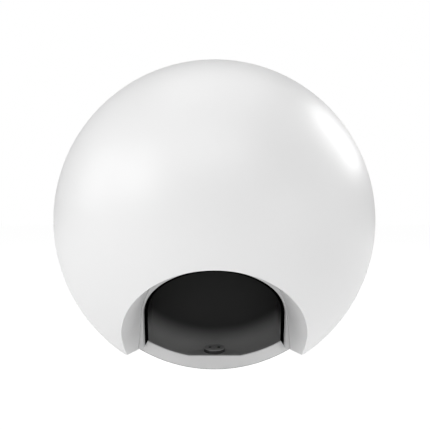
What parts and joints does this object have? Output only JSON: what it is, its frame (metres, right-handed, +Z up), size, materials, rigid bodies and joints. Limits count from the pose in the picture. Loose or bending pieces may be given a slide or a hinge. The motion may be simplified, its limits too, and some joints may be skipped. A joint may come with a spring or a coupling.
{
  "type": "smart speaker",
  "caption": "Ball-shaped white smart speaker with an arched service bay low at the back, sound holes at the front and press buttons on top.",
  "frame": {"origin": "on the table, straight below the centre of the ball", "axes": "+Z up, the arched bay opens towards -Y, the driver plays towards +Y, +X to the right when looking into the bay"},
  "size_m": [0.12, 0.12, 0.121],
  "materials": {
    "white_shell": "satin moulded ABS",
    "grey_trim": "satin",
    "black_gloss": "polished",
    "black_rubber": "matt",
    "foot_rubber": "matt",
    "cloth": "fine woven",
    "contact_metal": "plated",
    "inner_plastic": "moulded",
    "diffuser": "frosted",
    "board": "solder mask",
    "chip": "matt",
    "tin": "plated",
    "steel": "zinc plated",
    "ballast_iron": "painted",
    "ferrite": "ground",
    "copper": "enamelled",
    "paper": "pulp",
    "foam": "foam",
    "pad": "soft",
    "insulation": "PVC",
    "flex": "polyimide",
    "led": "clear epoxy"
  },
  "bodies": {
    "body": {"acoustic_cloth": "cloth", "amplifier_chip": "chip", "antenna": "flex", "ballast_weight": "ballast_iron", "base_plate": "inner_plastic", "base_screws": "steel", "bay_bezel": "grey_trim", "bay_seal": "black_rubber", "bay_tray": "black_gloss", "board_connectors": "diffuser", "board_screws": "steel", "box_lid": "inner_plastic", "box_screws": "steel", "button_panel": "white_shell", "capacitors": "tin", "contact_flex": "flex", "contact_pins": "contact_metal", "contact_puck": "black_gloss", "driver_basket": "steel", "driver_gasket": "foam", "driver_screws": "steel", "frame_screws": "steel", "front_shell": "white_shell", "inductors": "chip", "inner_frame": "inner_plastic", "leds": "led", "light_ring": "diffuser", "magnet": "ferrite", "magnet_yoke": "steel", "main_board": "board", "mic_capsules": "tin", "power_leads": "insulation", "processor": "chip", "rear_shell": "white_shell", "ribbon_cable": "flex", "rubber_foot": "foot_rubber", "shield_can": "tin", "speaker_box": "inner_plastic", "speaker_leads": "insulation", "spider": "cloth", "surround": "black_rubber", "switch_bodies": "chip", "thermal_pad": "pad", "top_board": "board", "top_carrier": "inner_plastic", "top_plate": "steel"},
    "volume_up": {"volume_up_button": "white_shell", "volume_up_plunger": "inner_plastic"},
    "volume_down": {"volume_down_button": "white_shell", "volume_down_plunger": "inner_plastic"},
    "action": {"action_button": "white_shell", "action_plunger": "inner_plastic"},
    "mic_mute": {"mic_mute_button": "white_shell", "mic_mute_plunger": "inner_plastic"},
    "driver_cone": {"voice_coil": "copper", "cone": "paper", "dust_cap": "paper"}
  },
  "joints": [
    {"name": "volume_up_press", "type": "slide", "parent": "body", "child": "volume_up", "axis": [0, 0, -1], "range_m": [0, 0.0005], "stiffness_N_per_m": 1500},
    {"name": "volume_down_press", "type": "slide", "parent": "body", "child": "volume_down", "axis": [0, 0, -1], "range_m": [0, 0.0005], "stiffness_N_per_m": 1500},
    {"name": "action_press", "type": "slide", "parent": "body", "child": "action", "axis": [0, 0, -1], "range_m": [0, 0.0005], "stiffness_N_per_m": 1500},
    {"name": "mic_mute_press", "type": "slide", "parent": "body", "child": "mic_mute", "axis": [0, 0, -1], "range_m": [0, 0.0005], "stiffness_N_per_m": 1500},
    {"name": "cone_stroke", "type": "slide", "parent": "body", "child": "driver_cone", "axis": [0, 1, 0], "range_m": [-0.0015, 0.0015], "stiffness_N_per_m": 1500, "deforming": ["surround", "spider"]}
  ]
}
